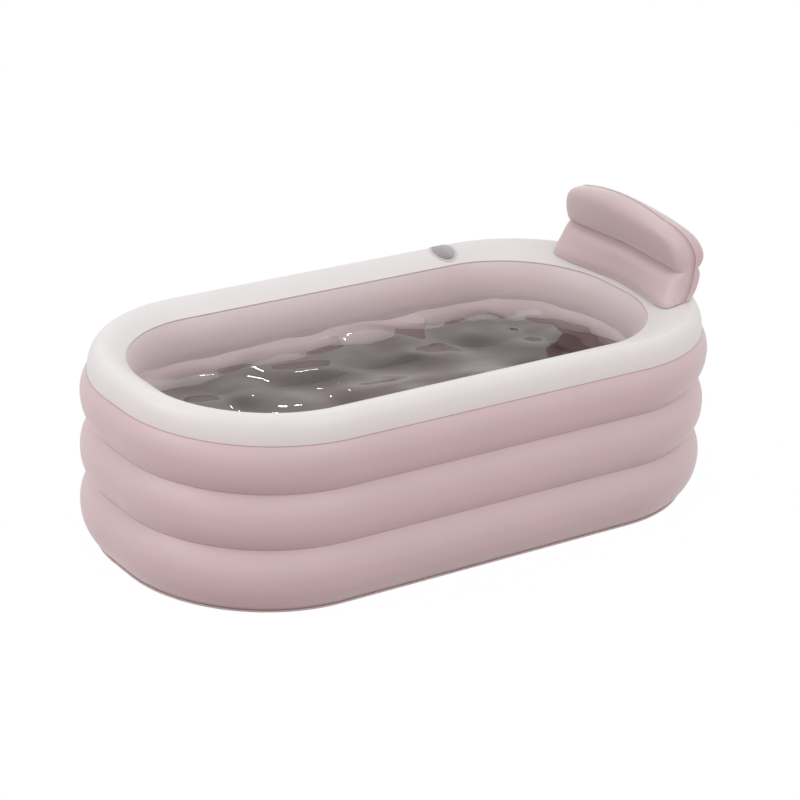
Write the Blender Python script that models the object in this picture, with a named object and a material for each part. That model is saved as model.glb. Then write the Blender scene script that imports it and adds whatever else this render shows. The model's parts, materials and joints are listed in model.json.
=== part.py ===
"""Inflatable bathtub: three stacked air rings, a padded rim, a backrest and a cup holder.

Metres, +Z up. X runs along the tub, with the backrest at +X. The origin is on the
ground under the middle of the tub. Every film panel is its own thin closed solid.
"""
from math import asin, cos, pi, sin, sqrt

import bmesh
import bpy
from mathutils import Matrix, Vector
from mathutils.bvhtree import BVHTree

# Overall size of the blown-up tub
TUB_LENGTH = 1.400
TUB_WIDTH = 0.750
OVERALL_HEIGHT = 0.600

# Film and fits
FILM = 0.0006
FLOOR_FILM = 0.0012
GAP = 0.0003
SEAT_GAP = 0.0008

# Outer wall: creases share one plan outline, and each strip bulges out between them
WALL_BULGE = 0.024
RIM_SEAM_OUTSET = 0.010
CORNER_RADIUS = 0.314
LOWER_CREASE_Z = 0.139
UPPER_CREASE_Z = 0.258
RIM_SEAM_Z = 0.364
BASE_INSET = 0.012

# Inner wall
SIDE_RIM_WIDTH = 0.075
HEAD_RIM_WIDTH = 0.116
FOOT_RIM_WIDTH = 0.067
INNER_CORNER_RADIUS = 0.242
INNER_BULGE = 0.016

# Rim cover
RIM_CREST_INSET = 0.018
RIM_CREST_RISE = 0.054
RIM_CREST_DROP = 0.024

# Weld strip round the base
WELD_LIP = 0.005
WELD_STRIP = 0.0012

# Backrest: its seam runs up both ends and over the top, and its toe stands behind the inner seam
BACKREST_HEAD_INSET = 0.064
BACKREST_TOE_SETBACK = 0.013
BACKREST_LEAN_OFFSET = 0.062
BACKREST_FOOT_BOW = 0.047
BACKREST_TOP_SWEEP = 0.008
BACKREST_TOP_DROOP = 0.020
BACKREST_SIDE_INSET = 0.168
BACKREST_WAIST_TUCK = 0.008
BACKREST_TOP_TUCK = 0.001
BACKREST_CORNER = 0.074
FRONT_CREASE_DEPTH = 0.034
BACK_BASE_DEPTH = 0.018
BACK_CREASE_DEPTH = 0.012
LOWER_LOBE_BULGE = 0.009
UPPER_LOBE_BULGE = 0.026
BAFFLE_CLEARANCE = 0.0008

# Cup holder
CUP_HEAD_INSET = 0.381
CUP_RADIUS = 0.0280
CUP_WALL = 0.0012
CUP_DEPTH = 0.058
CUP_TAPER = 0.0030
CUP_LIP = 0.0030
CUP_CLEARANCE = 0.0006

# Air valves
VALVE_BORE = 0.0070
VALVE_COLLAR_WALL = 0.0025
VALVE_COLLAR_HEIGHT = 0.0060
VALVE_COLLAR_REACH = 0.0060
VALVE_FLANGE_RADIUS = 0.0170
VALVE_FLANGE = 0.0012
VALVE_HOLE_CLEARANCE = 0.0005
VALVE_PLUG_DEPTH = 0.0040
VALVE_PLUG_CLEARANCE = 0.0004
VALVE_PLUG_TAPER = 0.0008
VALVE_CAP_OVERLAP = 0.0012
VALVE_CAP = 0.0014
VALVE_STRAP_WIDTH = 0.0050
VALVE_STRAP = 0.0010
VALVE_KNUCKLE_RADIUS = 0.0011
VALVE_TAB_LENGTH = 0.0040
FLAP_RADIUS = 0.0085
FLAP = 0.0008
BACKREST_VALVE_Y = 0.100

# Floor drain
DRAIN_FOOT_INSET = 0.270
DRAIN_SIDE_STEP = 0.100
DRAIN_BORE = 0.0160
DRAIN_COLLAR_WALL = 0.0030
DRAIN_COLLAR_HEIGHT = 0.0075
DRAIN_FLANGE_RADIUS = 0.0320
DRAIN_FLANGE = 0.0015
DRAIN_HOLE_CLEARANCE = 0.0010
DRAIN_PLUG_DEPTH = 0.0050
DRAIN_PLUG_CLEARANCE = 0.0008
DRAIN_PLUG_TAPER = 0.0016
DRAIN_CAP_OVERLAP = 0.0016
DRAIN_CAP = 0.0020
DRAIN_STRAP_WIDTH = 0.0090
DRAIN_STRAP = 0.0014
DRAIN_KNUCKLE_RADIUS = 0.0015
DRAIN_TAB_LENGTH = 0.0070

# Cutters run this far past what they cut
OVERRUN = 0.0040

# Points closer than this share of the film's thickness are one point
MERGE_SHARE = 0.001

# Heights of the strips' outline, as shares of the strip's height and of its bulge
BULGE_SHARES = ((0.0, 0.0), (0.16, 0.60), (0.38, 1.0), (0.62, 1.0), (0.84, 0.60), (1.0, 0.0))
INNER_BULGE_SHARES = ((0.0, 0.0), (0.3, 1.0), (0.7, 1.0), (1.0, 0.0))
DOME_SHARES = (0.0, 0.25, 0.5, 0.75, 1.0)
DOME_POWER = 1.7
CUP_CUTTER_SHARE = 0.5
CUP_ACROSS_SHARE = 0.5
WELD_EDGE_SHARE = 0.5
SHEET_SHARES = (0.0, 0.2, 0.4, 0.6, 0.8, 1.0)
BACKREST_CREASE_SHARE = 0.42
LOWER_LOBE_SHARES = (0.0, 0.25, 0.5, 0.75)
UPPER_LOBE_SHARES = (0.0, 0.2, 0.42, 0.62, 0.8, 0.93, 1.0)
ACROSS_SHARES = (0.0, 0.3, 0.55, 0.75, 0.88, 0.95, 0.985, 0.997, 1.0)
BACKREST_VALVE_SHARE = 0.5

# Numbers of facets, powers of the pillow's rounding, and angles
ARC_STEPS = 8
SHOULDER_STEPS = 5
ROUND_STEPS = 24
CUP_STEPS = 28
KNUCKLE_STEPS = 10
SIDE_POWER = 6.0
TOP_POWER = 3.0
VALVE_ARC_STEP = 4.5
SHARP_ANGLE = pi / 5

CREASE_HALF_LENGTH = TUB_LENGTH / 2 - WALL_BULGE
CREASE_HALF_WIDTH = TUB_WIDTH / 2 - WALL_BULGE
RIM_CREST_Z = RIM_SEAM_Z + RIM_CREST_RISE
INNER_SEAM_Z = RIM_CREST_Z - RIM_CREST_DROP
INNER_HEAD_X = CREASE_HALF_LENGTH - HEAD_RIM_WIDTH
BACKREST_SEAM_X = TUB_LENGTH / 2 - BACKREST_HEAD_INSET
BACKREST_HALF_BASE = TUB_WIDTH / 2 - BACKREST_SIDE_INSET
FRONT_BASE_DEPTH = BACKREST_SEAM_X - INNER_HEAD_X - BACKREST_TOE_SETBACK
CUP_X = TUB_LENGTH / 2 - CUP_HEAD_INSET
CUP_Y = CREASE_HALF_WIDTH - SIDE_RIM_WIDTH * CUP_ACROSS_SHARE


# Materials

def make_material(name, color, roughness):
    """A plain plastic with the colour and roughness of one kind of film."""
    material = bpy.data.materials.new(name)
    material.use_nodes = True
    shader = material.node_tree.nodes["Principled BSDF"]
    shader.inputs["Base Color"].default_value = (*color, 1.0)
    shader.inputs["Roughness"].default_value = roughness
    shader.inputs["Metallic"].default_value = 0.0
    material.diffuse_color = (*color, 1.0)
    return material


# Meshes

def add_object(name, mesh, material):
    """Put a mesh in the scene, smooth shaded, under the node's name."""
    body = bpy.data.objects.new(name, mesh)
    bpy.context.scene.collection.objects.link(body)
    mesh.materials.append(material)
    mesh.shade_smooth()
    mesh.set_sharp_from_angle(angle=SHARP_ANGLE)
    return body


def mesh_from(name, points, faces):
    """A mesh with its faces turned to point out of the closed body."""
    mesh = bpy.data.meshes.new(name)
    mesh.from_pydata([tuple(p) for p in points], [], faces)
    work = bmesh.new()
    work.from_mesh(mesh)
    bmesh.ops.remove_doubles(work, verts=work.verts, dist=FILM * MERGE_SHARE)
    bmesh.ops.recalc_face_normals(work, faces=work.faces)
    if work.calc_volume(signed=True) < 0:
        bmesh.ops.reverse_faces(work, faces=work.faces)
    work.to_mesh(mesh)
    work.free()
    return mesh


def two_sided_sheet(name, top, under, closed, material):
    """A closed thin solid between two matching grids of points, rows by columns.

    A closed sheet runs right round, so its last column joins its first one. Faces that lie behind
    each other start at the same corner, so that they split along the same diagonal.
    """
    rows = len(top)
    columns = len(top[0])
    points = [p for row in top for p in row] + [p for row in under for p in row]
    shift = rows * columns
    faces = []
    steps = columns if closed else columns - 1
    for r in range(rows - 1):
        for c in range(steps):
            d = (c + 1) % columns
            quad = (r * columns + c, r * columns + d, (r + 1) * columns + d, (r + 1) * columns + c)
            faces.append(quad)
            faces.append(tuple(shift + quad[k] for k in (0, 3, 2, 1)))
    for r in (0, rows - 1):
        for c in range(steps):
            d = (c + 1) % columns
            faces.append((r * columns + c, r * columns + d, shift + r * columns + d, shift + r * columns + c))
    if not closed:
        for c in (0, columns - 1):
            for r in range(rows - 1):
                a = r * columns + c
                b = (r + 1) * columns + c
                faces.append((a, b, shift + b, shift + a))
    return add_object(name, mesh_from(name, points, faces), material)


def turned(name, profile, steps, place, material):
    """Revolve a closed (radius, height) outline about its own axis, then place it.

    A point at radius zero becomes one point on the axis.
    """
    points = []
    rings = []
    for radius, height in profile:
        if radius == 0:
            rings.append([len(points)] * steps)
            points.append(place @ Vector((0, 0, height)))
            continue
        rings.append(list(range(len(points), len(points) + steps)))
        for k in range(steps):
            angle = 2 * pi * k / steps
            points.append(place @ Vector((radius * cos(angle), radius * sin(angle), height)))
    faces = []
    count = len(profile)
    for i in range(count):
        low = rings[i]
        high = rings[(i + 1) % count]
        for k in range(steps):
            n = (k + 1) % steps
            corners = []
            for index in (low[k], low[n], high[n], high[k]):
                if index not in corners:
                    corners.append(index)
            if len(corners) > 2:
                faces.append(tuple(corners))
    return add_object(name, mesh_from(name, points, faces), material)


def extruded_across(name, outline, half, place, material):
    """A side outline of (Y, Z) points, extruded along X to both sides in the frame of place."""
    count = len(outline)
    points = [place @ Vector((x, y, z)) for x in (-half, half) for y, z in outline]
    faces = [tuple(range(count)), tuple(reversed(range(count, 2 * count)))]
    for k in range(count):
        n = (k + 1) % count
        faces.append((k, n, count + n, count + k))
    return add_object(name, mesh_from(name, points, faces), material)


def apply_boolean(body, tool, operation):
    """Cut or join with an exact Boolean, apply it, and delete the tool."""
    cut = body.modifiers.new(operation.lower(), "BOOLEAN")
    cut.operation = operation
    cut.solver = "EXACT"
    cut.object = tool
    bpy.context.view_layer.update()
    shaped = bpy.data.meshes.new_from_object(body.evaluated_get(bpy.context.evaluated_depsgraph_get()))
    body.modifiers.clear()
    body.data = shaped
    bpy.data.objects.remove(tool)


def drill(body, radius, place, deep):
    """Drill a round hole along the axis of place, to the same depth on both sides."""
    tool = turned("drill", ((0, -deep), (radius, -deep), (radius, deep), (0, deep)), ROUND_STEPS, place,
                  body.data.materials[0])
    apply_boolean(body, tool, "DIFFERENCE")


def surface_of(body):
    """A body's surface, ready for rays."""
    work = bmesh.new()
    work.from_mesh(body.data)
    tree = BVHTree.FromBMesh(work)
    work.free()
    return tree


def height_on(rim, x, y):
    """Height of the rim cover under a point, and of its crest past its edge."""
    place = rim.ray_cast(Vector((x, y, OVERALL_HEIGHT)), Vector((0, 0, -1)))[0]
    return place.z if place else RIM_CREST_Z


# Plan outlines

class Outline:
    """A rounded rectangle as points, each with its outward direction."""

    def __init__(self, low_x, high_x, half_width, radius):
        radius = min(radius, half_width, (high_x - low_x) / 2)
        corners = ((high_x - radius, half_width - radius), (low_x + radius, half_width - radius),
                   (low_x + radius, radius - half_width), (high_x - radius, radius - half_width))
        self.points = []
        self.normals = []
        for quarter, (x, y) in enumerate(corners):
            for k in range(ARC_STEPS + 1):
                angle = pi / 2 * (quarter + k / ARC_STEPS)
                self.normals.append(Vector((cos(angle), sin(angle), 0)))
                self.points.append(Vector((x, y, 0)) + radius * self.normals[-1])

    def row(self, outset, height):
        """The outline's points moved outwards and up."""
        return [p + n * outset + Vector((0, 0, height)) for p, n in zip(self.points, self.normals)]


OUTER = Outline(-CREASE_HALF_LENGTH, CREASE_HALF_LENGTH, CREASE_HALF_WIDTH, CORNER_RADIUS)
INNER = Outline(FOOT_RIM_WIDTH - CREASE_HALF_LENGTH, INNER_HEAD_X, CREASE_HALF_WIDTH - SIDE_RIM_WIDTH,
                INNER_CORNER_RADIUS)


# Wall strips

def strip_profile(start, end, bulge, shares):
    """Outset and height of a bulging strip between two creases."""
    outsets = []
    for up, out in shares:
        level = start[1] + (end[1] - start[1]) * up
        outsets.append((start[0] + (end[0] - start[0]) * up + bulge * out, level))
    return outsets


def inside_of(profile, thickness):
    """The profile moved in by the film, with its two ends cut level."""
    inside = []
    for i, (outset, level) in enumerate(profile):
        before = profile[max(i - 1, 0)]
        after = profile[min(i + 1, len(profile) - 1)]
        run = after[0] - before[0]
        rise = after[1] - before[1]
        length = sqrt(run * run + rise * rise)
        if 0 < i < len(profile) - 1:
            inside.append((outset - thickness * rise / length, level + thickness * run / length))
        else:
            inside.append((outset - thickness * length / rise, level))
    return inside


def wall_strip(name, outline, start, end, bulge, shares, side, material):
    """One strip of wall film. Side is 1 for the outer wall and -1 for the inner one."""
    profile = strip_profile(start, end, bulge, shares)
    under = inside_of(profile, FILM)
    top_rows = [outline.row(side * outset, level) for outset, level in profile]
    under_rows = [outline.row(side * outset, level) for outset, level in under]
    return two_sided_sheet(name, top_rows, under_rows, True, material)


def base_bulge():
    """Bulge that brings the lowest strip, which starts further in, out to the others' width."""
    widest = BULGE_SHARES[3][0]
    return WALL_BULGE + BASE_INSET * (1 - widest)


def top_bulge():
    """Bulge that keeps the highest strip, which ends further out, at the others' width."""
    widest = BULGE_SHARES[3][0]
    return WALL_BULGE - RIM_SEAM_OUTSET * widest


def web(name, level, material):
    """The level sheet that parts two air chambers, welded in both creases."""
    half = FILM / 2
    top = [OUTER.row(0, level + half), INNER.row(0, level + half)]
    under = [OUTER.row(0, level - half), INNER.row(0, level - half)]
    return two_sided_sheet(name, top, under, True, material)


# Rim cover

def cover_rows(thickness):
    """Rows of the rim cover's upper side, or of its underside a film's thickness below."""
    rows = []
    foot = RIM_SEAM_Z + GAP / 2
    rise = RIM_CREST_Z - foot - thickness
    reach = RIM_CREST_INSET + RIM_SEAM_OUTSET - thickness
    for k in range(SHOULDER_STEPS + 1):
        angle = pi / 2 * k / SHOULDER_STEPS
        rows.append(OUTER.row(reach * cos(angle) - RIM_CREST_INSET, foot + rise * sin(angle)))
    crest = OUTER.row(-RIM_CREST_INSET, 0)
    inner = INNER.row(0, 0)
    for share in DOME_SHARES[1:]:
        level = RIM_CREST_Z - thickness - RIM_CREST_DROP * share ** DOME_POWER
        rows.append([c.lerp(i, share) + Vector((0, 0, level)) for c, i in zip(crest, inner)])
    return rows


# Flip plugs, shared by the air valves and the drain

class PlugSizes:
    """Sizes of a welded seat with a bore and of the plug that hinges on it by its strap."""

    def __init__(self, bore, collar_wall, collar_height, collar_reach, flange_radius, flange, plug_depth,
                 plug_clearance, plug_taper, cap_overlap, cap, strap_width, strap, knuckle, tab):
        self.bore = bore
        self.collar = bore + collar_wall
        self.top = collar_height
        self.reach = collar_reach
        self.flange_top = GAP + flange
        self.plug_bottom = collar_height - plug_depth
        self.plug_radius = bore - plug_clearance
        self.plug_end_radius = self.plug_radius - plug_taper
        self.cap_radius = self.collar + cap_overlap
        self.flange_radius = max(flange_radius, self.cap_radius + 2 * strap + knuckle)
        self.cap_low = collar_height + GAP
        self.cap_high = self.cap_low + cap
        self.strap_width = strap_width
        self.strap = strap
        self.knuckle = knuckle
        self.hinge_y = self.flange_radius - knuckle
        self.hinge_z = self.flange_top + GAP + knuckle
        self.tab = tab


VALVE = PlugSizes(VALVE_BORE, VALVE_COLLAR_WALL, VALVE_COLLAR_HEIGHT, VALVE_COLLAR_REACH, VALVE_FLANGE_RADIUS,
                  VALVE_FLANGE, VALVE_PLUG_DEPTH, VALVE_PLUG_CLEARANCE, VALVE_PLUG_TAPER, VALVE_CAP_OVERLAP,
                  VALVE_CAP, VALVE_STRAP_WIDTH, VALVE_STRAP, VALVE_KNUCKLE_RADIUS, VALVE_TAB_LENGTH)
DRAIN = PlugSizes(DRAIN_BORE, DRAIN_COLLAR_WALL, DRAIN_COLLAR_HEIGHT, 0, DRAIN_FLANGE_RADIUS, DRAIN_FLANGE,
                  DRAIN_PLUG_DEPTH, DRAIN_PLUG_CLEARANCE, DRAIN_PLUG_TAPER, DRAIN_CAP_OVERLAP, DRAIN_CAP,
                  DRAIN_STRAP_WIDTH, DRAIN_STRAP, DRAIN_KNUCKLE_RADIUS, DRAIN_TAB_LENGTH)


def seat(name, sizes, place, material):
    """Welded flange with a collar round the bore, which also reaches in through the film."""
    profile = [(sizes.collar, GAP), (sizes.flange_radius, GAP), (sizes.flange_radius, sizes.flange_top),
               (sizes.collar, sizes.flange_top), (sizes.collar, sizes.top), (sizes.bore, sizes.top)]
    if sizes.reach:
        profile += [(sizes.bore, -sizes.reach), (sizes.collar, -sizes.reach)]
    else:
        profile += [(sizes.bore, GAP)]
    return turned(name, profile, ROUND_STEPS, place, material)


def strap_outline(sizes):
    """Side outline of the pull tab, the strap through the cap, and its leg down to the round root."""
    half = sizes.strap / 2
    middle = (sizes.cap_low + sizes.cap_high) / 2
    root = sizes.hinge_y
    shoulder = asin(min(half / sizes.knuckle, 1))
    outline = [(-sizes.cap_radius - sizes.tab, middle - half), (root - half, middle - half)]
    for k in range(KNUCKLE_STEPS + 1):
        angle = pi / 2 + shoulder + (2 * pi - 2 * shoulder) * k / KNUCKLE_STEPS
        outline.append((root + sizes.knuckle * cos(angle), sizes.hinge_z + sizes.knuckle * sin(angle)))
    outline += [(root + half, middle + half), (-sizes.cap_radius - sizes.tab, middle + half)]
    return outline


def flip_cap(name, sizes, place, material):
    """Plug, cap, pull tab and strap in one piece, hinged at the strap's round root."""
    profile = [(0, sizes.plug_bottom), (sizes.plug_end_radius, sizes.plug_bottom),
               (sizes.plug_radius, sizes.cap_low), (sizes.cap_radius, sizes.cap_low),
               (sizes.cap_radius, sizes.cap_high), (0, sizes.cap_high)]
    cap = turned(name, profile, ROUND_STEPS, place, material)
    strap = extruded_across("strap", strap_outline(sizes), sizes.strap_width / 2, place, material)
    apply_boolean(cap, strap, "UNION")
    cap.data.name = name
    return cap


def flap(name, sizes, place, material):
    """Soft disc over the bore's inner end, hinged at its top edge."""
    top = -sizes.reach - GAP
    profile = ((0, top - FLAP), (FLAP_RADIUS, top - FLAP), (FLAP_RADIUS, top), (0, top))
    return turned(name, profile, ROUND_STEPS, place, material)


def wall_frame(point, outward):
    """A frame at a point on a wall: local Z points out of the wall, and local Y points up."""
    z_axis = outward.normalized()
    x_axis = Vector((0, 0, 1)).cross(z_axis).normalized()
    y_axis = z_axis.cross(x_axis)
    turn = Matrix((x_axis, y_axis, z_axis)).transposed().to_4x4()
    return Matrix.Translation(point) @ turn


def set_hinge(body, place, y, z):
    """Put an object's origin and axes on its hinge, with local X along it and its shape left in place."""
    hinge = place @ Matrix.Translation(Vector((0, y, z)))
    body.data.transform(hinge.inverted())
    body.matrix_world = hinge


def air_valve(tag, wall, point, outward, materials):
    """Seat, one-way flap and flip cap of one air valve, square to the wall that is drilled for it."""
    hit, normal = surface_of(wall).ray_cast(point + outward * TUB_LENGTH, -outward)[:2]
    place = wall_frame(hit, normal)
    drill(wall, VALVE.collar + VALVE_HOLE_CLEARANCE, place, OVERRUN)
    seat("valve_seat_" + tag, VALVE, place, materials["fitting"])
    soft = flap("valve_flap_" + tag, VALVE, place, materials["fitting"])
    cap = flip_cap("valve_cap_" + tag, VALVE, place, materials["fitting"])
    set_hinge(soft, place, FLAP_RADIUS, -VALVE.reach - GAP)
    set_hinge(cap, place, VALVE.hinge_y, VALVE.hinge_z)


# Tub

def build_walls(materials):
    """The six wall strips, the two webs between the chambers, and the rim cover."""
    half = FILM / 2 + GAP
    base = FLOOR_FILM + GAP
    pink = materials["pink_film"]
    lower = wall_strip("outer_wall_lower", OUTER, (-BASE_INSET, base), (0, LOWER_CREASE_Z - half),
                       base_bulge(), BULGE_SHARES, 1, pink)
    middle = wall_strip("outer_wall_middle", OUTER, (0, LOWER_CREASE_Z + half), (0, UPPER_CREASE_Z - half),
                        WALL_BULGE, BULGE_SHARES, 1, pink)
    upper = wall_strip("outer_wall_upper", OUTER, (0, UPPER_CREASE_Z + half),
                       (RIM_SEAM_OUTSET, RIM_SEAM_Z - GAP / 2), top_bulge(), BULGE_SHARES, 1, pink)
    top = INNER_SEAM_Z - FILM - GAP
    levels = (("inner_wall_lower", base, LOWER_CREASE_Z - half, materials["grey_film"]),
              ("inner_wall_middle", LOWER_CREASE_Z + half, UPPER_CREASE_Z - half, pink),
              ("inner_wall_upper", UPPER_CREASE_Z + half, top, pink))
    for name, low, high, film in levels:
        wall_strip(name, INNER, (0, low), (0, high), INNER_BULGE, INNER_BULGE_SHARES, -1, film)
    web("web_lower", LOWER_CREASE_Z, pink)
    web("web_upper", UPPER_CREASE_Z, pink)
    cover = two_sided_sheet("rim_cover", cover_rows(0), cover_rows(FILM), True, materials["white_film"])
    return lower, middle, upper, cover


def build_floor(materials):
    """The tub's floor, which runs out under the rings to the weld lip, and the strip on the lip."""
    rim = OUTER.row(WELD_LIP - BASE_INSET, 0)
    count = len(rim)
    points = rim + [p + Vector((0, 0, FLOOR_FILM)) for p in rim]
    faces = [tuple(range(count)), tuple(range(2 * count - 1, count - 1, -1))]
    for k in range(count):
        n = (k + 1) % count
        faces.append((k, n, count + n, count + k))
    floor = add_object("floor_sheet", mesh_from("floor_sheet", points, faces), materials["grey_film"])
    low = FLOOR_FILM + GAP
    high = low + WELD_STRIP
    near = 2 * GAP - BASE_INSET
    lean = BULGE_SHARES[1][1] * base_bulge() / (BULGE_SHARES[1][0] * LOWER_CREASE_Z)
    clear = near + WELD_STRIP * (lean + WELD_EDGE_SHARE)
    top = [OUTER.row(clear, high), OUTER.row(WELD_LIP - BASE_INSET, high)]
    under = [OUTER.row(near, low), OUTER.row(WELD_LIP - BASE_INSET, low)]
    two_sided_sheet("base_weld_strip", top, under, True, materials["pink_film"])
    return floor


def build_valves(walls, materials):
    """One valve for each ring, above each other on the round head end."""
    levels = ((0, LOWER_CREASE_Z), (LOWER_CREASE_Z, UPPER_CREASE_Z), (UPPER_CREASE_Z, RIM_SEAM_Z))
    angle = pi / 2 * VALVE_ARC_STEP / ARC_STEPS
    outward = Vector((cos(angle), sin(angle), 0))
    centre = Vector((CREASE_HALF_LENGTH - CORNER_RADIUS, CREASE_HALF_WIDTH - CORNER_RADIUS, 0))
    for tag, wall, (low, high) in zip(("lower", "middle", "upper"), walls, levels):
        air_valve(tag, wall, centre + Vector((0, 0, (low + high) / 2)), outward, materials)


def build_drain(floor, materials):
    """Drain seat welded over a hole in the floor, and its flip plug."""
    place = Matrix.Translation(Vector((DRAIN_FOOT_INSET - TUB_LENGTH / 2, -DRAIN_SIDE_STEP, FLOOR_FILM)))
    drill(floor, DRAIN.bore + DRAIN_HOLE_CLEARANCE, place, OVERRUN)
    seat("drain_seat", DRAIN, place, materials["fitting"])
    plug = flip_cap("drain_plug", DRAIN, place, materials["fitting"])
    set_hinge(plug, place, DRAIN.hinge_y, DRAIN.hinge_z)


def build_cup_holder(cover, materials):
    """Moulded cup hung in a hole in the rim, its lip following the rim's curve."""
    axis = Matrix.Translation(Vector((CUP_X, CUP_Y, RIM_CREST_Z)))
    lip_radius = CUP_RADIUS + CUP_LIP
    rim = surface_of(cover)

    def on_rim(radius, angle, lift):
        x = CUP_X + radius * cos(angle)
        y = CUP_Y + radius * sin(angle)
        return Vector((x, y, height_on(rim, x, y) + lift))

    angles = [2 * pi * k / CUP_STEPS for k in range(CUP_STEPS)]
    lip_under = [on_rim(lip_radius, a, SEAT_GAP) for a in angles]
    neck = [on_rim(CUP_RADIUS, a, SEAT_GAP) for a in angles]
    lip_top = [p + Vector((0, 0, CUP_WALL)) for p in lip_under]
    mouth_radius = CUP_RADIUS - CUP_WALL
    mouth = []
    for angle, under in zip(angles, neck):
        mouth.append(Vector((CUP_X + mouth_radius * cos(angle), CUP_Y + mouth_radius * sin(angle),
                             under.z + CUP_WALL)))
    drill(cover, CUP_RADIUS + CUP_CLEARANCE, axis, CUP_DEPTH * CUP_CUTTER_SHARE)

    def level_ring(radius, level):
        return [Vector((CUP_X + radius * cos(a), CUP_Y + radius * sin(a), level)) for a in angles]

    bottom = RIM_CREST_Z - CUP_DEPTH
    inside_foot = level_ring(mouth_radius - CUP_TAPER, bottom + CUP_WALL)
    outside_foot = level_ring(CUP_RADIUS - CUP_TAPER, bottom)
    rings = [inside_foot, mouth, lip_top, lip_under, neck, outside_foot]
    points = [p for ring in rings for p in ring]
    faces = [tuple(range(CUP_STEPS)), tuple(reversed(range(len(points) - CUP_STEPS, len(points))))]
    for r in range(len(rings) - 1):
        low = r * CUP_STEPS
        high = low + CUP_STEPS
        for k in range(CUP_STEPS):
            n = (k + 1) % CUP_STEPS
            faces.append((low + k, low + n, high + n, high + k))
    add_object("cup_holder", mesh_from("cup_holder", points, faces), materials["grey_plastic"])


# Backrest

def lobe_levels():
    """Heights of the pillow's rows as shares of its height, with the lobe and the place in it."""
    levels = []
    for share in LOWER_LOBE_SHARES:
        levels.append((share * BACKREST_CREASE_SHARE, "lower", share))
    for share in UPPER_LOBE_SHARES:
        levels.append((BACKREST_CREASE_SHARE + share * (1 - BACKREST_CREASE_SHARE), "upper", share))
    return levels


def lobe_depth(lobe, share, base_depth, crease_depth, film):
    """How far the pillow's face stands from its seam at one height of a lobe."""
    if lobe == "lower":
        depth = base_depth + (crease_depth - base_depth) * share + LOWER_LOBE_BULGE * 4 * share * (1 - share)
        return depth - film
    round_off = (1 - share ** TOP_POWER) ** (1 / TOP_POWER)
    return (crease_depth - film + UPPER_LOBE_BULGE * 4 * share * (1 - share)) * round_off


def half_width(level, height, film):
    """Half the pillow's width at a share of its height, with round top corners."""
    if level < BACKREST_CREASE_SHARE:
        return BACKREST_HALF_BASE - BACKREST_WAIST_TUCK * level / BACKREST_CREASE_SHARE - film
    part = (level - BACKREST_CREASE_SHARE) / (1 - BACKREST_CREASE_SHARE)
    width = BACKREST_HALF_BASE - BACKREST_WAIST_TUCK * (1 - part) - BACKREST_TOP_TUCK * part - film
    corner = min(BACKREST_CORNER, width)
    into = level * height - (height - corner)
    if into > 0:
        width -= corner - sqrt(max(corner * corner - into * into, 0))
    return width


def across_shares():
    """Places across the pillow from one side to the other, closer together towards its sides."""
    return [-share for share in reversed(ACROSS_SHARES[1:])] + list(ACROSS_SHARES)


def side_round(share):
    """How much of the depth is left at a place across the pillow."""
    return (1 - min(abs(share), 1) ** SIDE_POWER) ** (1 / SIDE_POWER)


class Pillow:
    """Points of the backrest's faces, standing on the rim cover."""

    def __init__(self, cover):
        self.rim = surface_of(cover)

    def seam_x(self, level, across):
        """The seam leans forward as it rises. Its foot bows round the tub's end, and its top bows back."""
        bow = (BACKREST_FOOT_BOW + BACKREST_TOP_SWEEP) * (1 - level) ** 2 - BACKREST_TOP_SWEEP
        return BACKREST_SEAM_X - BACKREST_LEAN_OFFSET * level ** 2 - bow * across ** 2

    def face_x(self, side, level, lobe, share, across, film):
        """X of a face: side is -1 for the front and 1 for the back."""
        base = FRONT_BASE_DEPTH if side < 0 else BACK_BASE_DEPTH
        crease = FRONT_CREASE_DEPTH if side < 0 else BACK_CREASE_DEPTH
        depth = lobe_depth(lobe, share, base, crease, film)
        return self.seam_x(level, across) + side * (GAP / 2 + depth * side_round(across))

    def rows(self, side, film):
        """Rows of one face from the base to the top."""
        rows = []
        for level, lobe, share in lobe_levels():
            row = []
            for across in across_shares():
                foot_y = (BACKREST_HALF_BASE - film) * across
                foot_x = self.face_x(side, 0, "lower", 0, across, film)
                foot_z = height_on(self.rim, foot_x, foot_y) + FILM + 2 * SEAT_GAP
                height = OVERALL_HEIGHT - BACKREST_TOP_DROOP * across ** 2 - film - foot_z
                x = self.face_x(side, level, lobe, share, across, film)
                y = half_width(level, height, film) * across
                row.append(Vector((x, y, foot_z + height * level)))
            rows.append(row)
        return rows

    def resting(self, row):
        """A row of points laid down onto the rim cover."""
        return [Vector((p.x, p.y, height_on(self.rim, p.x, p.y) + SEAT_GAP)) for p in row]


def rows_between(front, back):
    """Rows of points from a front row to a back row."""
    return [[f.lerp(b, share) for f, b in zip(front, back)] for share in SHEET_SHARES]


def film_on(name, under, material):
    """A sheet of film on rows of points that give its underside."""
    top = [[p + Vector((0, 0, FILM)) for p in row] for row in under]
    return two_sided_sheet(name, top, under, False, material)


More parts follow.
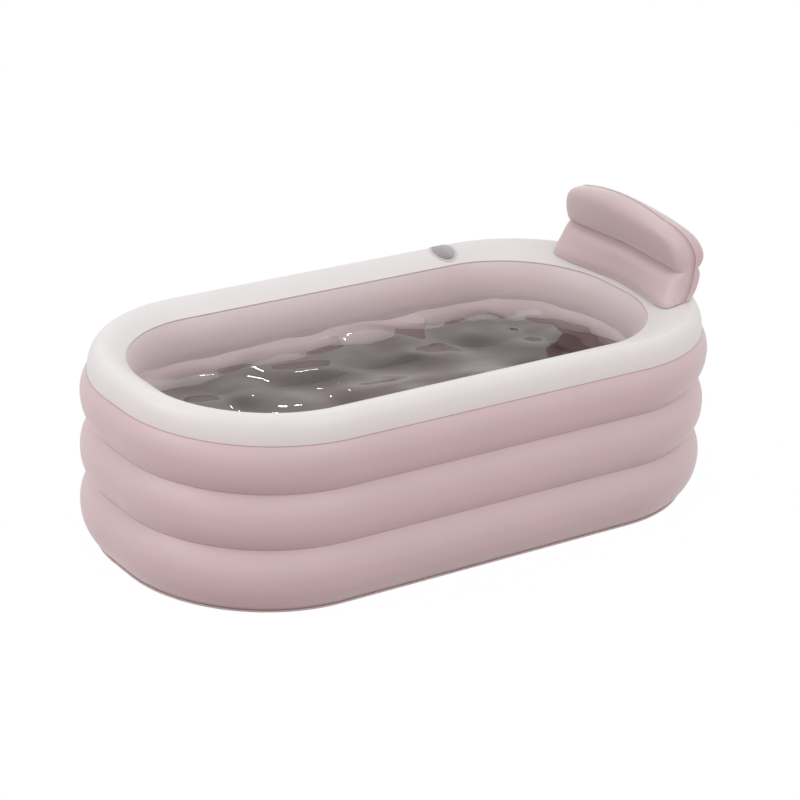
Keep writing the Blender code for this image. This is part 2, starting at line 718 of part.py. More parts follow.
def build_backrest(cover, materials):
    """Front and back panels, base panel, inner baffle and air valve of the backrest."""
    pillow = Pillow(cover)
    pink = materials["pink_film"]
    two_sided_sheet("backrest_front", pillow.rows(-1, 0), pillow.rows(-1, FILM), False, pink)
    back = two_sided_sheet("backrest_back", pillow.rows(1, 0), pillow.rows(1, FILM), False, pink)

    base = rows_between(pillow.rows(-1, 0)[0], pillow.rows(1, 0)[0])
    film_on("backrest_base", [pillow.resting(row) for row in base], pink)
    crease = len(LOWER_LOBE_SHARES)
    inset = FILM + BAFFLE_CLEARANCE
    baffle = rows_between(pillow.rows(-1, inset)[crease][1:-1], pillow.rows(1, inset)[crease][1:-1])
    film_on("backrest_baffle", baffle, pink)
    foot = height_on(pillow.rim, BACKREST_SEAM_X, BACKREST_VALVE_Y)
    level = foot + (OVERALL_HEIGHT - foot) * BACKREST_CREASE_SHARE * BACKREST_VALVE_SHARE
    middle = Vector((BACKREST_SEAM_X, BACKREST_VALVE_Y, level))
    air_valve("backrest", back, middle, Vector((1, 0, 0)), materials)


def build():
    """Model the whole tub."""
    for old in list(bpy.data.objects):
        bpy.data.objects.remove(old)
    materials = {
        "pink_film": make_material("pink_film", (0.62, 0.44, 0.45), 0.35),
        "white_film": make_material("white_film", (0.78, 0.74, 0.73), 0.35),
        "grey_film": make_material("grey_film", (0.22, 0.18, 0.175), 0.4),
        "grey_plastic": make_material("grey_plastic", (0.30, 0.28, 0.28), 0.4),
        "fitting": make_material("fitting", (0.72, 0.66, 0.66), 0.3),
    }
    lower, middle, upper, cover = build_walls(materials)
    floor = build_floor(materials)
    build_valves((lower, middle, upper), materials)
    build_drain(floor, materials)
    build_backrest(cover, materials)
    build_cup_holder(cover, materials)


build()
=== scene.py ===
"""Looks of the inflatable bathtub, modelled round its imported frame.

Metres, +Z up. X runs along the tub, with the backrest at +X.
"""
import json
from math import copysign, cos, hypot, pi, radians, sin, sqrt

import bmesh
import bpy
from mathutils import Matrix, Vector, noise
from mathutils.bvhtree import BVHTree


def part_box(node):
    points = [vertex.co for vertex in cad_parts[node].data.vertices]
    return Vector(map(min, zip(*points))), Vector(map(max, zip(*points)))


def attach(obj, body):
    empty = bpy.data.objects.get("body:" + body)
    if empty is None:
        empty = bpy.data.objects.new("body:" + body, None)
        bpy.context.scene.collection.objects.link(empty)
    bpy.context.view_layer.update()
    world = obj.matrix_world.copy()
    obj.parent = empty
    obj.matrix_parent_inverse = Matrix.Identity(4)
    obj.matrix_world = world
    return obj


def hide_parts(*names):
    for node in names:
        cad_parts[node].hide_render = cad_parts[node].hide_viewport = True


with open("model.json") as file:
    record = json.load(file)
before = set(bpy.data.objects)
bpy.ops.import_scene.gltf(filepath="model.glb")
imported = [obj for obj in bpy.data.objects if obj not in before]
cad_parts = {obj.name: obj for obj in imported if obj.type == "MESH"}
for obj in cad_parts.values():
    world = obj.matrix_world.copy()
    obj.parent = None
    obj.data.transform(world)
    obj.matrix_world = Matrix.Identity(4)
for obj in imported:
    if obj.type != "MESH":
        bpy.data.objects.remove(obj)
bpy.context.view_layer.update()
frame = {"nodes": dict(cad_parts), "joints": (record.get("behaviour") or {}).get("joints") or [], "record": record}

# Films and fits
FILM = 0.0006
GAP = 0.0003
SEAT_GAP = 0.0008
MERGE_DISTANCE = FILM * 0.01
FLOOR_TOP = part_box("floor_sheet")[1].z

# Outer wall: both creases share one plan outline, and the strips bulge out from it
WALL_BULGE = 0.024
RIM_SEAM_OUTSET = 0.010
BASE_INSET = 0.012
CORNER_RADIUS = 0.314
HALF_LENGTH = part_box("web_lower")[1].x
HALF_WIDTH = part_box("web_lower")[1].y
LOWER_CREASE_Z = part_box("web_lower")[0].z + FILM / 2
UPPER_CREASE_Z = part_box("web_upper")[0].z + FILM / 2
RIM_SEAM_Z = (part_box("outer_wall_upper")[1].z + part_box("rim_cover")[0].z) / 2

# Inner wall
SIDE_RIM_WIDTH = 0.075
HEAD_RIM_WIDTH = 0.116
FOOT_RIM_WIDTH = 0.067
INNER_CORNER_RADIUS = 0.242
INNER_BULGE = 0.016
INNER_HEAD_X = HALF_LENGTH - HEAD_RIM_WIDTH
INNER_FOOT_X = FOOT_RIM_WIDTH - HALF_LENGTH
INNER_HALF_WIDTH = HALF_WIDTH - SIDE_RIM_WIDTH

# Rim cover
RIM_CREST_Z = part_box("rim_cover")[1].z
RIM_CREST_INSET = 0.018
RIM_CREST_DROP = 0.024
INNER_SEAM_Z = RIM_CREST_Z - RIM_CREST_DROP

# How far the films breathe in and out, the scales of these waves, and the bead in a welded seam
BREATH = 0.0006
BREATH_ALONG = 3.1
BREATH_UP = 5.0
LINING_SEED = 9
SEAM_BEAD = 0.0009

# Unevenness of the floor, and the strip welded over its edge
FLOOR_SWELL = 0.0012
FLOOR_SWELL_SCALE = 9
FLOOR_SWELL_SEED = 4
FLOOR_CALM = 0.25
STRIP_REACH = 0.002
STRIP_CROWN = 0.0002

# Backrest
BACKREST_SEAM_X = 0.636
BACKREST_TOE_SETBACK = 0.013
BACKREST_LEAN_OFFSET = 0.062
BACKREST_FOOT_BOW = 0.047
BACKREST_TOP_SWEEP = 0.008
BACKREST_TOP_DROOP = 0.020
BACKREST_HALF_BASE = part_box("backrest_front")[1].y
BACKREST_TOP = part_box("backrest_front")[1].z
BACKREST_WAIST_TUCK = 0.008
BACKREST_TOP_TUCK = 0.001
BACKREST_CORNER = 0.074
BACKREST_CREASE_SHARE = 0.42
LOWER_LOBE_BULGE = 0.012

# Depths of the backrest's front and back faces at the foot, between the lobes and at the upper lobe,
# and how much deeper the crease between the lobes is cut
FRONT_DEPTHS = (BACKREST_SEAM_X - INNER_HEAD_X - BACKREST_TOE_SETBACK, 0.046, 0.060, 0.013)
BACK_DEPTHS = (0.018, 0.018, 0.038, 0.006)
NOTCH_FADE_START = 0.80
NOTCH_FADE_END = 0.96
BAFFLE_INSET = 0.0020

# Cup holder
CUP_LOW, CUP_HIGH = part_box("cup_holder")
CUP_X = (CUP_LOW.x + CUP_HIGH.x) / 2
CUP_Y = (CUP_LOW.y + CUP_HIGH.y) / 2
CUP_BOTTOM = CUP_LOW.z
CUP_RADIUS = 0.0280
CUP_WALL = 0.0012
CUP_TAPER = 0.0030
CUP_LIP = 0.0030
CUP_CLEARANCE = 0.0006
CUP_FILLET = 0.0060
CUP_MOUTH_CHAMFER = CUP_WALL * 0.3

# Valve flaps, and how a film lies flat under a welded seat
FLAP_RADIUS = 0.0085
FLAP = 0.0008
FLAT_RADIUS = 0.020
BLEND_RADIUS = 0.052
SEAT_SIDE = 0.030
VALVE_CLEARANCE = 0.0005
DRAIN_CLEARANCE = 0.0010
DRAIN_LOW, DRAIN_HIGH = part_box("drain_seat")
DRAIN_X = (DRAIN_LOW.x + DRAIN_HIGH.x) / 2
DRAIN_Y = (DRAIN_LOW.y + DRAIN_HIGH.y) / 2

# How far each hole is drilled to both sides of its middle
VALVE_DRILL = 0.008
DRAIN_DRILL = 0.004
CUP_DRILL = 0.03

# Fine shapes of the seats and plugs
EDGE = 0.0005
RIDGE = 0.0002
DISH = 0.0003
RIDGE_SHARES = (0.22, 0.36, 0.50)
HOLLOW_SHARE = 0.75
DISH_RIM_SHARE = 0.76
DISH_FLOOR_SHARE = 0.70
STRAP_TIP = 0.02

# Angles past which an edge stays sharp, in degrees
TURNED_SHARP = 50
CUT_SHARP = 40

# Films and mouldings: name, light colour, dark colour, roughness, grain and sheen
FILMS = {
    "pink_film": ("pink_pvc", (0.64, 0.485, 0.495), (0.625, 0.475, 0.485), 0.42, 0.06, 0.4),
    # The lining is the pink film made lighter: painted light for the inner walls, which the tub's own walls shade
    "painted_light_lining": ("pink_lining_painted_light", (0.745, 0.62, 0.63), (0.73, 0.605, 0.615), 0.42, 0.06, 0.4),
    "white_film": ("white_pvc", (0.77, 0.735, 0.73), (0.755, 0.72, 0.715), 0.42, 0.06, 0.3),
    "grey_film": ("grey_pvc", (0.17, 0.105, 0.10), (0.16, 0.10, 0.095), 0.42, 0.06, 0.0),
    "grey_plastic": ("grey_moulded", (0.63, 0.60, 0.60), (0.62, 0.59, 0.59), 0.45, 0.1, 0.3),
    "fitting": ("soft_moulded", (0.72, 0.66, 0.66), (0.70, 0.64, 0.64), 0.35, 0.06, 0.1),
    "weld": ("weld_line", (0.46, 0.32, 0.32), (0.43, 0.30, 0.30), 0.4, 0.06, 0.0),
    "pale_weld": ("pale_weld_line", (0.62, 0.50, 0.50), (0.60, 0.48, 0.48), 0.4, 0.06, 0.0),
}

# Mottling, uneven gloss, grain, coat and sheen that all of them share
MOTTLE_SCALE = 7.0
MOTTLE_DETAIL = 3.0
MOTTLE_START = 0.35
MOTTLE_END = 0.65
GLOSS_SCALE = 24.0
GLOSS_DETAIL = 4.0
GLOSS_SMOOTHER = 0.04
GLOSS_ROUGHER = 0.05
GRAIN_SCALE = 900.0
GRAIN_DETAIL = 2.0
GRAIN_HEIGHT = 0.0004
COAT = 0.1
COAT_ROUGHNESS = 0.25
SHEEN_ROUGHNESS = 0.5

# Water, shown for the likeness only. Each wave is a scale, a share of the height and a seed
WATER_Z = 0.327
WATER_OVERLAP = 0.004
WATER_COLOUR = (0.98, 0.97, 0.97, 1.0)
WATER_IOR = 1.333
WATER_COAT = 0.35
WAVE_HEIGHT = 0.010
WAVE_EDGE = 0.12
WAVES = ((9.0, 1.0, 0.0), (15.0, 0.3, 5.0))

# Ground: half its side, its drop under the tub, its look, and the glow that makes it white to the camera
GROUND_HALF = 12.0
GROUND_DROP = 0.0005
GROUND_COLOUR = (0.46, 0.335, 0.345, 1.0)
GROUND_ROUGHNESS = 0.9
GROUND_GLOW = 1.03
GROUND_GLOW_SHARE = 0.96

# Light from all around, and the lamps: name, place, size and power in watts
WHITE = (1.0, 1.0, 1.0, 1.0)
WORLD_LIGHT = 0.83
LAMPS = (("front", (0.6, -3.4, 3.0), (2.6, 2.2), 32),
         ("left", (-3.4, 0.6, 2.4), (2.2, 2.0), 33),
         ("glint", (1.6, 3.0, 2.0), (0.08, 0.03), 0.3))

# Numbers of steps
ARC_STEPS = 60
SIDE_STEPS = 44
END_STEPS = 8
BAND_STEPS = 28
SHOULDER_STEPS = 16
DOME_STEPS = 22
FLOOR_STEPS = 26
PILLOW_STEPS = 90
SHEET_STEPS = 8
ROUND_STEPS = 64
CUP_STEPS = 9
FILLET_STEPS = 6
STRAP_STEPS = 24
STRAP_SIDES = 16
BEAD_STEPS = 2
WATER_STEPS = 240

# Powers of roundings, and of the spacing of the floor's rows
BAND_POWER = 2.3
DOME_POWER = 1.7
SIDE_POWER = 6.0
TOP_POWER = 3.0
LOBE_POWER = 4.0
NOTCH_POWER = 8.0
STRAP_POWER = 0.5
FLOOR_POWER = 1.5

# Camera: azimuth, elevation and roll in degrees, and the lens and sensor in millimetres
CAMERA_AZIMUTH = -35.1681
CAMERA_ELEVATION = 23.0145
CAMERA_ROLL = 2.503
CAMERA_DISTANCE = 5.7908
CAMERA_TARGET = (-0.0023, -0.0006, 0.2353)
CAMERA_LENS = 123.132
CAMERA_SENSOR = 36.0


# Materials

def shader_of(name):
    """A new material, its tree and its Principled shader."""
    material = bpy.data.materials.new(name)
    material.use_nodes = True
    tree = material.node_tree
    return material, tree, tree.nodes["Principled BSDF"]


def node(tree, kind, **values):
    """A shader node with its sockets and settings filled in."""
    made = tree.nodes.new(kind)
    for key, value in values.items():
        if key in made.inputs:
            made.inputs[key].default_value = value
        else:
            setattr(made, key, value)
    return made


def noise_of(tree, scale, detail):
    """Noise over the object's own coordinates."""
    place = node(tree, "ShaderNodeTexCoord")
    made = node(tree, "ShaderNodeTexNoise", Scale=scale, Detail=detail)
    tree.links.new(place.outputs["Object"], made.inputs["Vector"])
    return made


def larger(tree, first, second):
    """A socket with the larger of two values."""
    made = node(tree, "ShaderNodeMath", operation="MAXIMUM")
    tree.links.new(first, made.inputs[0])
    tree.links.new(second, made.inputs[1])
    return made.outputs["Value"]


def seen_rays(tree):
    """A socket that is 1 for rays from the camera, off gloss and through water, which see plain white."""
    rays = node(tree, "ShaderNodeLightPath").outputs
    direct = larger(tree, rays["Is Camera Ray"], rays["Is Transmission Ray"])
    return larger(tree, direct, rays["Is Glossy Ray"])


def show_mix(tree, share, first, second, output):
    """Mix two shaders and show the result. A share of 1 shows only the second."""
    mix = node(tree, "ShaderNodeMixShader")
    tree.links.new(share, mix.inputs["Fac"])
    tree.links.new(first, mix.inputs[1])
    tree.links.new(second, mix.inputs[2])
    tree.links.new(mix.outputs["Shader"], tree.nodes[output].inputs["Surface"])


def film_material(name, light, dark, roughness, grain, sheen):
    """Satin PVC film: faint mottling, uneven gloss, a fine calendered grain and a pale sheen."""
    material, tree, shader = shader_of(name)
    mottle = noise_of(tree, MOTTLE_SCALE, MOTTLE_DETAIL)
    ramp = tree.nodes.new("ShaderNodeValToRGB")
    ramp.color_ramp.elements[0].position = MOTTLE_START
    ramp.color_ramp.elements[0].color = (*dark, 1.0)
    ramp.color_ramp.elements[1].position = MOTTLE_END
    ramp.color_ramp.elements[1].color = (*light, 1.0)
    tree.links.new(mottle.outputs["Fac"], ramp.inputs["Fac"])
    tree.links.new(ramp.outputs["Color"], shader.inputs["Base Color"])
    gloss = noise_of(tree, GLOSS_SCALE, GLOSS_DETAIL)
    spread = node(tree, "ShaderNodeMapRange")
    spread.inputs["To Min"].default_value = roughness - GLOSS_SMOOTHER
    spread.inputs["To Max"].default_value = roughness + GLOSS_ROUGHER
    tree.links.new(gloss.outputs["Fac"], spread.inputs["Value"])
    tree.links.new(spread.outputs["Result"], shader.inputs["Roughness"])
    fine = noise_of(tree, GRAIN_SCALE, GRAIN_DETAIL)
    bump = node(tree, "ShaderNodeBump", Strength=grain, Distance=GRAIN_HEIGHT)
    tree.links.new(fine.outputs["Fac"], bump.inputs["Height"])
    tree.links.new(bump.outputs["Normal"], shader.inputs["Normal"])
    shader.inputs["Coat Weight"].default_value = COAT
    shader.inputs["Coat Roughness"].default_value = COAT_ROUGHNESS
    shader.inputs["Sheen Weight"].default_value = sheen
    shader.inputs["Sheen Roughness"].default_value = SHEEN_ROUGHNESS
    return material


def water_material():
    """Clear water that lets light through to what lies under it."""
    material, tree, shader = shader_of("water")
    shader.inputs["Base Color"].default_value = WATER_COLOUR
    shader.inputs["Roughness"].default_value = 0
    shader.inputs["IOR"].default_value = WATER_IOR
    shader.inputs["Transmission Weight"].default_value = 1
    shader.inputs["Coat Weight"].default_value = WATER_COAT
    shader.inputs["Coat Roughness"].default_value = 0
    rays = node(tree, "ShaderNodeLightPath").outputs
    clear = node(tree, "ShaderNodeBsdfTransparent")
    through = larger(tree, rays["Is Shadow Ray"], rays["Is Diffuse Ray"])
    show_mix(tree, through, shader.outputs["BSDF"], clear.outputs["BSDF"], "Material Output")
    return material


# Meshes

def linked(name, data):
    """A new object, put into the scene."""
    body = bpy.data.objects.new(name, data)
    bpy.context.scene.collection.objects.link(body)
    return body


def object_from(name, points, faces, material):
    """A smooth-shaded object with one material."""
    mesh = bpy.data.meshes.new(name)
    mesh.from_pydata([tuple(p) for p in points], [], faces)
    mesh.materials.append(material)
    body = linked(name, mesh)
    mesh.shade_smooth()
    return body


def faces_between(low, high, columns, closed=True):
    """Faces that join two rows of points. Low and high are the numbers of the rows' first points."""
    faces = []
    for c in range(columns if closed else columns - 1):
        d = (c + 1) % columns
        faces.append((low + c, low + d, high + d, high + c))
    return faces


def grid_object(name, rows, closed, material):
    """An open surface through rows of points, whose rows can close into rings."""
    columns = len(rows[0])
    faces = []
    for r in range(len(rows) - 1):
        faces += faces_between(r * columns, (r + 1) * columns, columns, closed)
    body = object_from(name, [p for row in rows for p in row], faces, material)
    work = bmesh.new()
    work.from_mesh(body.data)
    bmesh.ops.remove_doubles(work, verts=work.verts, dist=MERGE_DISTANCE)
    work.to_mesh(body.data)
    work.free()
    body.data.shade_smooth()
    return body


def applied(body):
    """The body with its modifiers applied."""
    bpy.context.view_layer.update()
    graph = bpy.context.evaluated_depsgraph_get()
    shaped = bpy.data.meshes.new_from_object(body.evaluated_get(graph))
    body.modifiers.clear()
    body.data = shaped
    return body


def thicken(body, film=FILM):
    """Give a surface its film's thickness, behind its faces."""
    solid = body.modifiers.new("film", "SOLIDIFY")
    solid.thickness = film
    solid.offset = -1
    return applied(body)


def combine(body, tool, operation):
    """Cut or join with an exact Boolean, apply it, and delete the tool."""
    cut = body.modifiers.new("combine", "BOOLEAN")
    cut.operation = operation
    cut.solver = "EXACT"
    cut.object = tool
    applied(body)
    bpy.data.objects.remove(tool)
    body.data.shade_smooth()
    body.data.set_sharp_from_angle(angle=radians(CUT_SHARP))


def drill(body, place, radius, reach):
    """Cut a round hole along the axis of place."""
    profile = ((0, -reach), (radius, -reach), (radius, reach), (0, reach))
    combine(body, turned("drill", profile, place, body.data.materials[0]), "DIFFERENCE")


def turned(name, profile, place, material):
    """Revolve a closed (radius, height) outline about its own axis, then place it."""
    points = []
    rings = []
    for radius, height in profile:
        if radius == 0:
            rings.append([len(points)] * ROUND_STEPS)
            points.append(place @ Vector((0, 0, height)))
            continue
        rings.append(list(range(len(points), len(points) + ROUND_STEPS)))
        for k in range(ROUND_STEPS):
            angle = 2 * pi * k / ROUND_STEPS
            points.append(place @ Vector((radius * cos(angle), radius * sin(angle), height)))
    faces = []
    for i in range(len(rings)):
        low = rings[i]
        high = rings[(i + 1) % len(rings)]
        for k in range(ROUND_STEPS):
            n = (k + 1) % ROUND_STEPS
            corners = list(dict.fromkeys((low[k], low[n], high[n], high[k])))
            if len(corners) > 2:
                faces.append(tuple(corners))
    body = object_from(name, points, faces, material)
    outwards(body)
    return body


def outwards(body):
    """Turn a closed body's faces out, and keep its sharp edges sharp."""
    work = bmesh.new()
    work.from_mesh(body.data)
    bmesh.ops.recalc_face_normals(work, faces=work.faces)
    if work.calc_volume(signed=True) < 0:
        bmesh.ops.reverse_faces(work, faces=work.faces)
    work.to_mesh(body.data)
    work.free()
    body.data.shade_smooth()
    body.data.set_sharp_from_angle(angle=radians(TURNED_SHARP))


def softened(profile):
    """A closed outline with its corners rounded. Each corner is (radius, height, fillet)."""
    points = []
    for i, (radius, height, fillet) in enumerate(profile):
        if fillet == 0:
            points.append((radius, height))
            continue
        corner = Vector((radius, height))
        before = Vector(profile[i - 1][:2]) - corner
        after = Vector(profile[(i + 1) % len(profile)][:2]) - corner
        reach = min(fillet, before.length / 2, after.length / 2)
        start = corner + before.normalized() * reach
        end = corner + after.normalized() * reach
        for k in range(FILLET_STEPS + 1):
            t = k / FILLET_STEPS
            points.append(tuple(start * (1 - t) ** 2 + corner * 2 * t * (1 - t) + end * t * t))
    return points


def weld_bead(name, path, closed, material):
    """The round bead of a weld along a path."""
    curve = bpy.data.curves.new(name, "CURVE")
    curve.dimensions = "3D"
    curve.bevel_depth = SEAM_BEAD
    curve.bevel_resolution = BEAD_STEPS
    curve.use_fill_caps = True
    line = curve.splines.new("POLY")
    line.points.add(len(path) - 1)
    for point, place in zip(line.points, path):
        point.co = (*place, 1)
    line.use_cyclic_u = closed
    shape = linked(name + "_line", curve)
    bpy.context.view_layer.update()
    graph = bpy.context.evaluated_depsgraph_get()
    mesh = bpy.data.meshes.new_from_object(shape.evaluated_get(graph))
    bpy.data.objects.remove(shape)
    mesh.materials.clear()
    mesh.materials.append(material)
    body = linked(name, mesh)
    mesh.shade_smooth()
    return body


def surface_of(body):
    """A body's surface, ready for rays."""
    work = bmesh.new()
    work.from_mesh(body.data)
    tree = BVHTree.FromBMesh(work)
    work.free()
    return tree


def height_on(rim, x, y):
    """Height of the rim cover under a point, and of its crest past its edge."""
    place = rim.ray_cast(Vector((x, y, BACKREST_TOP)), Vector((0, 0, -1)))[0]
    return place.z if place else RIM_CREST_Z


def frame_slot(name):
    """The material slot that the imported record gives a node."""
    return next(part["material_slot"] for part in frame["record"]["subparts"] if part["node"] == name)


def finished(piece, slot, *nodes, body="tub"):
    """Fix a piece to its body and hide the imported parts that it stands for."""
    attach(piece, body)
    if nodes:
        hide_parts(*nodes)
    return piece


def smooth(low, high, value):
    """A soft step from 0 at low to 1 at high."""
    share = max(0, min(1, (value - low) / (high - low)))
    return share * share * (3 - 2 * share)


# Plan outlines

class Outline:
    """A rounded rectangle as points, each with its outward direction. It runs anticlockwise from above."""

    def __init__(self, low_x, high_x, half_width, radius):
        self.points = []
        self.normals = []
        corners = ((high_x - radius, half_width - radius), (low_x + radius, half_width - radius),
                   (low_x + radius, radius - half_width), (high_x - radius, radius - half_width))
        for quarter, (x, y) in enumerate(corners):
            for k in range(ARC_STEPS + 1):
                angle = pi / 2 * (quarter + k / ARC_STEPS)
                self.normals.append(Vector((cos(angle), sin(angle), 0)))
                self.points.append(Vector((x, y, 0)) + radius * self.normals[-1])
            near = self.points[-1]
            outward = self.normals[-1]
            far = Vector((*corners[(quarter + 1) % 4], 0)) + radius * outward
            steps = SIDE_STEPS if quarter % 2 == 0 else END_STEPS
            for k in range(1, steps):
                self.points.append(near.lerp(far, k / steps))
                self.normals.append(outward)

    def row(self, outset, height):
        """The outline's points moved outwards and up."""
        return [p + n * outset + Vector((0, 0, height)) for p, n in zip(self.points, self.normals)]


def rows_inwards(edge, middle_x, spine, shares, swell):
    """Rows from an edge in to a line along the tub of half-length spine, lifted by swell(x, y, share)."""
    rows = []
    for share in shares:
        row = []
        for p in edge:
            middle = Vector((middle_x + max(-spine, min(spine, p.x - middle_x)), 0, p.z))
            q = p.lerp(middle, share)
            q.z += swell(q.x, q.y, share)
            row.append(q)
        rows.append(row)
    return rows


OUTER = Outline(-HALF_LENGTH, HALF_LENGTH, HALF_WIDTH, CORNER_RADIUS)
INNER = Outline(INNER_FOOT_X, INNER_HEAD_X, INNER_HALF_WIDTH, INNER_CORNER_RADIUS)


# Flip plugs, shared by the air valves and the drain

class Plug:
    """Sizes of a welded seat with a bore and of the plug that hinges on it by its strap."""

    def __init__(self, bore, collar, top, reach, flange_radius, flange, depth, clearance, taper, overlap, cap,
                 strap_width, strap, knuckle, tab):
        self.bore = bore
        self.collar = collar
        self.top = top
        self.reach = reach
        self.flange_radius = flange_radius
        self.flange_top = GAP + flange
        self.plug_bottom = top - depth
        self.plug_radius = bore - clearance
        self.plug_end_radius = self.plug_radius - taper
        self.cap_radius = collar + overlap
        self.cap_low = top + GAP
        self.cap_high = self.cap_low + cap
        self.strap_width = strap_width
        self.strap = strap
        self.knuckle = knuckle
        self.hinge_y = flange_radius - knuckle
        self.hinge_z = self.flange_top + GAP + knuckle
        self.tab = tab

    def seat(self, name, place, material):
        """Flange with fine weld ridges, a collar round the bore, and its inner end."""
        profile = [(self.collar, GAP, 0), (self.flange_radius, GAP, EDGE),
                   (self.flange_radius, self.flange_top, EDGE)]
        for share in reversed(RIDGE_SHARES):
            middle = self.collar + (self.flange_radius - self.collar) * share
            profile += [(middle + EDGE, self.flange_top, EDGE), (middle, self.flange_top + RIDGE, EDGE),
                        (middle - EDGE, self.flange_top, EDGE)]
        profile += [(self.collar, self.flange_top, EDGE), (self.collar, self.top, EDGE),
                    (self.bore, self.top, EDGE)]
        if self.reach:
            profile += [(self.bore, -self.reach, EDGE), (self.collar, -self.reach, EDGE)]
        else:
            profile += [(self.bore, GAP, EDGE)]
        return turned(name, softened(profile), place, material)

    def cap(self, name, place, material):
        """Hollow plug, dished cap, pull tab and strap in one piece."""
        wall = self.plug_end_radius * HOLLOW_SHARE
        profile = [(0, self.cap_low, 0), (wall, self.cap_low, EDGE), (wall, self.plug_bottom, EDGE),
                   (self.plug_end_radius, self.plug_bottom, EDGE), (self.plug_radius, self.cap_low, EDGE),
                   (self.cap_radius, self.cap_low, EDGE), (self.cap_radius, self.cap_high, 2 * EDGE),
                   (self.cap_radius * DISH_RIM_SHARE, self.cap_high, EDGE),
                   (self.cap_radius * DISH_FLOOR_SHARE, self.cap_high - DISH, EDGE),
                   (0, self.cap_high - DISH, 0)]
        body = turned(name, softened(profile), place, material)
        combine(body, self.strap_piece(place, material), "UNION")
        half = self.strap_width / 2
        root = place @ Matrix.Translation((0, self.hinge_y, self.hinge_z)) @ Matrix.Rotation(pi / 2, 4, "Y")
        pin = softened([(0, -half, 0), (self.knuckle, -half, EDGE), (self.knuckle, half, EDGE), (0, half, 0)])
        combine(body, turned("knuckle", pin, root, material), "UNION")
        return body

    def strap_path(self):
        """Places along the strap from the tip of its tab: y, z, the normal there and half the width."""
        middle = (self.cap_low + self.cap_high) / 2
        bend = (middle - self.hinge_z) / 2
        start = -self.cap_radius - self.tab
        end = self.hinge_y - bend
        half = self.strap_width / 2
        path = []
        for k in range(STRAP_STEPS + 1):
            y = start + (end - start) * (1 - cos(pi * k / STRAP_STEPS)) / 2
            from_tip = min((y - start) / half, 1)
            path.append((y, middle, 0, 1, half * sqrt(max(1 - (1 - from_tip) ** 2, STRAP_TIP))))
        for k in range(1, FILLET_STEPS + 1):
            angle = pi / 2 * (1 - k / FILLET_STEPS)
            y = end + bend * cos(angle)
            path.append((y, middle - bend * (1 - sin(angle)), cos(angle), sin(angle), half))
        path.append((self.hinge_y, self.hinge_z, 1, 0, half))
        return path

    def strap_piece(self, place, material):
        """A flat strap with round edges, from the tip of the tab over the cap and down to its root."""
        path = self.strap_path()
        points = []
        for y, z, normal_y, normal_z, width in path:
            for s in range(STRAP_SIDES):
                angle = 2 * pi * s / STRAP_SIDES
                out = copysign(abs(cos(angle)) ** STRAP_POWER, cos(angle)) * width
                up = copysign(abs(sin(angle)) ** STRAP_POWER, sin(angle)) * self.strap / 2
                points.append(place @ Vector((out, y + normal_y * up, z + normal_z * up)))
        faces = [tuple(range(STRAP_SIDES)), tuple(range(len(points) - STRAP_SIDES, len(points)))]
        for r in range(len(path) - 1):
            faces += faces_between(r * STRAP_SIDES, (r + 1) * STRAP_SIDES, STRAP_SIDES)
        strap = object_from("strap", points, faces, material)
        outwards(strap)
        return strap


VALVE = Plug(bore=0.0070, collar=0.0095, top=0.0060, reach=0.0060, flange_radius=0.0170, flange=0.0012,
             depth=0.0040, clearance=0.0004, taper=0.0008, overlap=0.0012, cap=0.0014, strap_width=0.0050,
             strap=0.0010, knuckle=0.0011, tab=0.0040)
DRAIN = Plug(bore=0.0160, collar=0.0190, top=0.0075, reach=0, flange_radius=0.0320, flange=0.0015,
             depth=0.0050, clearance=0.0008, taper=0.0016, overlap=0.0016, cap=0.0020, strap_width=0.0090,
             strap=0.0014, knuckle=0.0015, tab=0.0070)
JOINTS = {joint["name"]: joint for joint in frame["joints"]}


def valve_place(tag):
    """The frame of an air valve, from its two hinges: local Z points out of the film and local Y up."""
    hinge = JOINTS["cap_" + tag + "_flip"]
    root = Vector(hinge["pos_m"])
    x_axis = -Vector(hinge["axis"]).normalized()
    between = root - Vector(JOINTS["flap_" + tag + "_swing"]["pos_m"])
    rise = VALVE.hinge_y - FLAP_RADIUS
    run = VALVE.hinge_z + VALVE.reach + GAP
    y_axis = (rise * between - run * x_axis.cross(between)).normalized()
    z_axis = x_axis.cross(y_axis)
    turn = Matrix((x_axis, y_axis, z_axis)).transposed().to_4x4()
    return Matrix.Translation(root - y_axis * VALVE.hinge_y - z_axis * VALVE.hinge_z) @ turn


PLACES = {tag: valve_place(tag) for tag in ("lower", "middle", "upper", "backrest")}
DRAIN_PLACE = Matrix.Translation((DRAIN_X, DRAIN_Y, FLOOR_TOP))


def seated(row, place):
    """A row of a film's points, laid flat where the seat of a valve is welded on."""
    moved = []
    for point in row:
        local = place.inverted() @ point
        if abs(local.z) < SEAT_SIDE:
            local.z *= smooth(FLAT_RADIUS, BLEND_RADIUS, hypot(local.x, local.y))
        moved.append(place @ local)
    return moved


def build_valves(material):
    """Seats, one-way flaps and flip caps of the air valves, and the drain's seat and plug."""
    for tag, place in PLACES.items():
        finished(VALVE.seat("air_seat_" + tag, place, material), "fitting", "valve_seat_" + tag)
        cap = VALVE.cap("air_cap_" + tag, place, material)
        finished(cap, "fitting", "valve_cap_" + tag, body="cap_" + tag)
        top = -VALVE.reach - GAP
        disc = [(0, top - FLAP, 0), (FLAP_RADIUS, top - FLAP, EDGE), (FLAP_RADIUS, top, EDGE), (0, top, 0)]
        soft = turned("air_flap_" + tag, softened(disc), place, material)
        finished(soft, "fitting", "valve_flap_" + tag, body="flap_" + tag)
    finished(DRAIN.seat("drain_ring", DRAIN_PLACE, material), "fitting", "drain_seat")
    finished(DRAIN.cap("drain_stopper", DRAIN_PLACE, material), "fitting", "drain_plug", body="plug")


# Rings

def band_share(share):
    """How far a strip of film stands out at a share of its height."""
    return 1 - abs(2 * share - 1) ** BAND_POWER


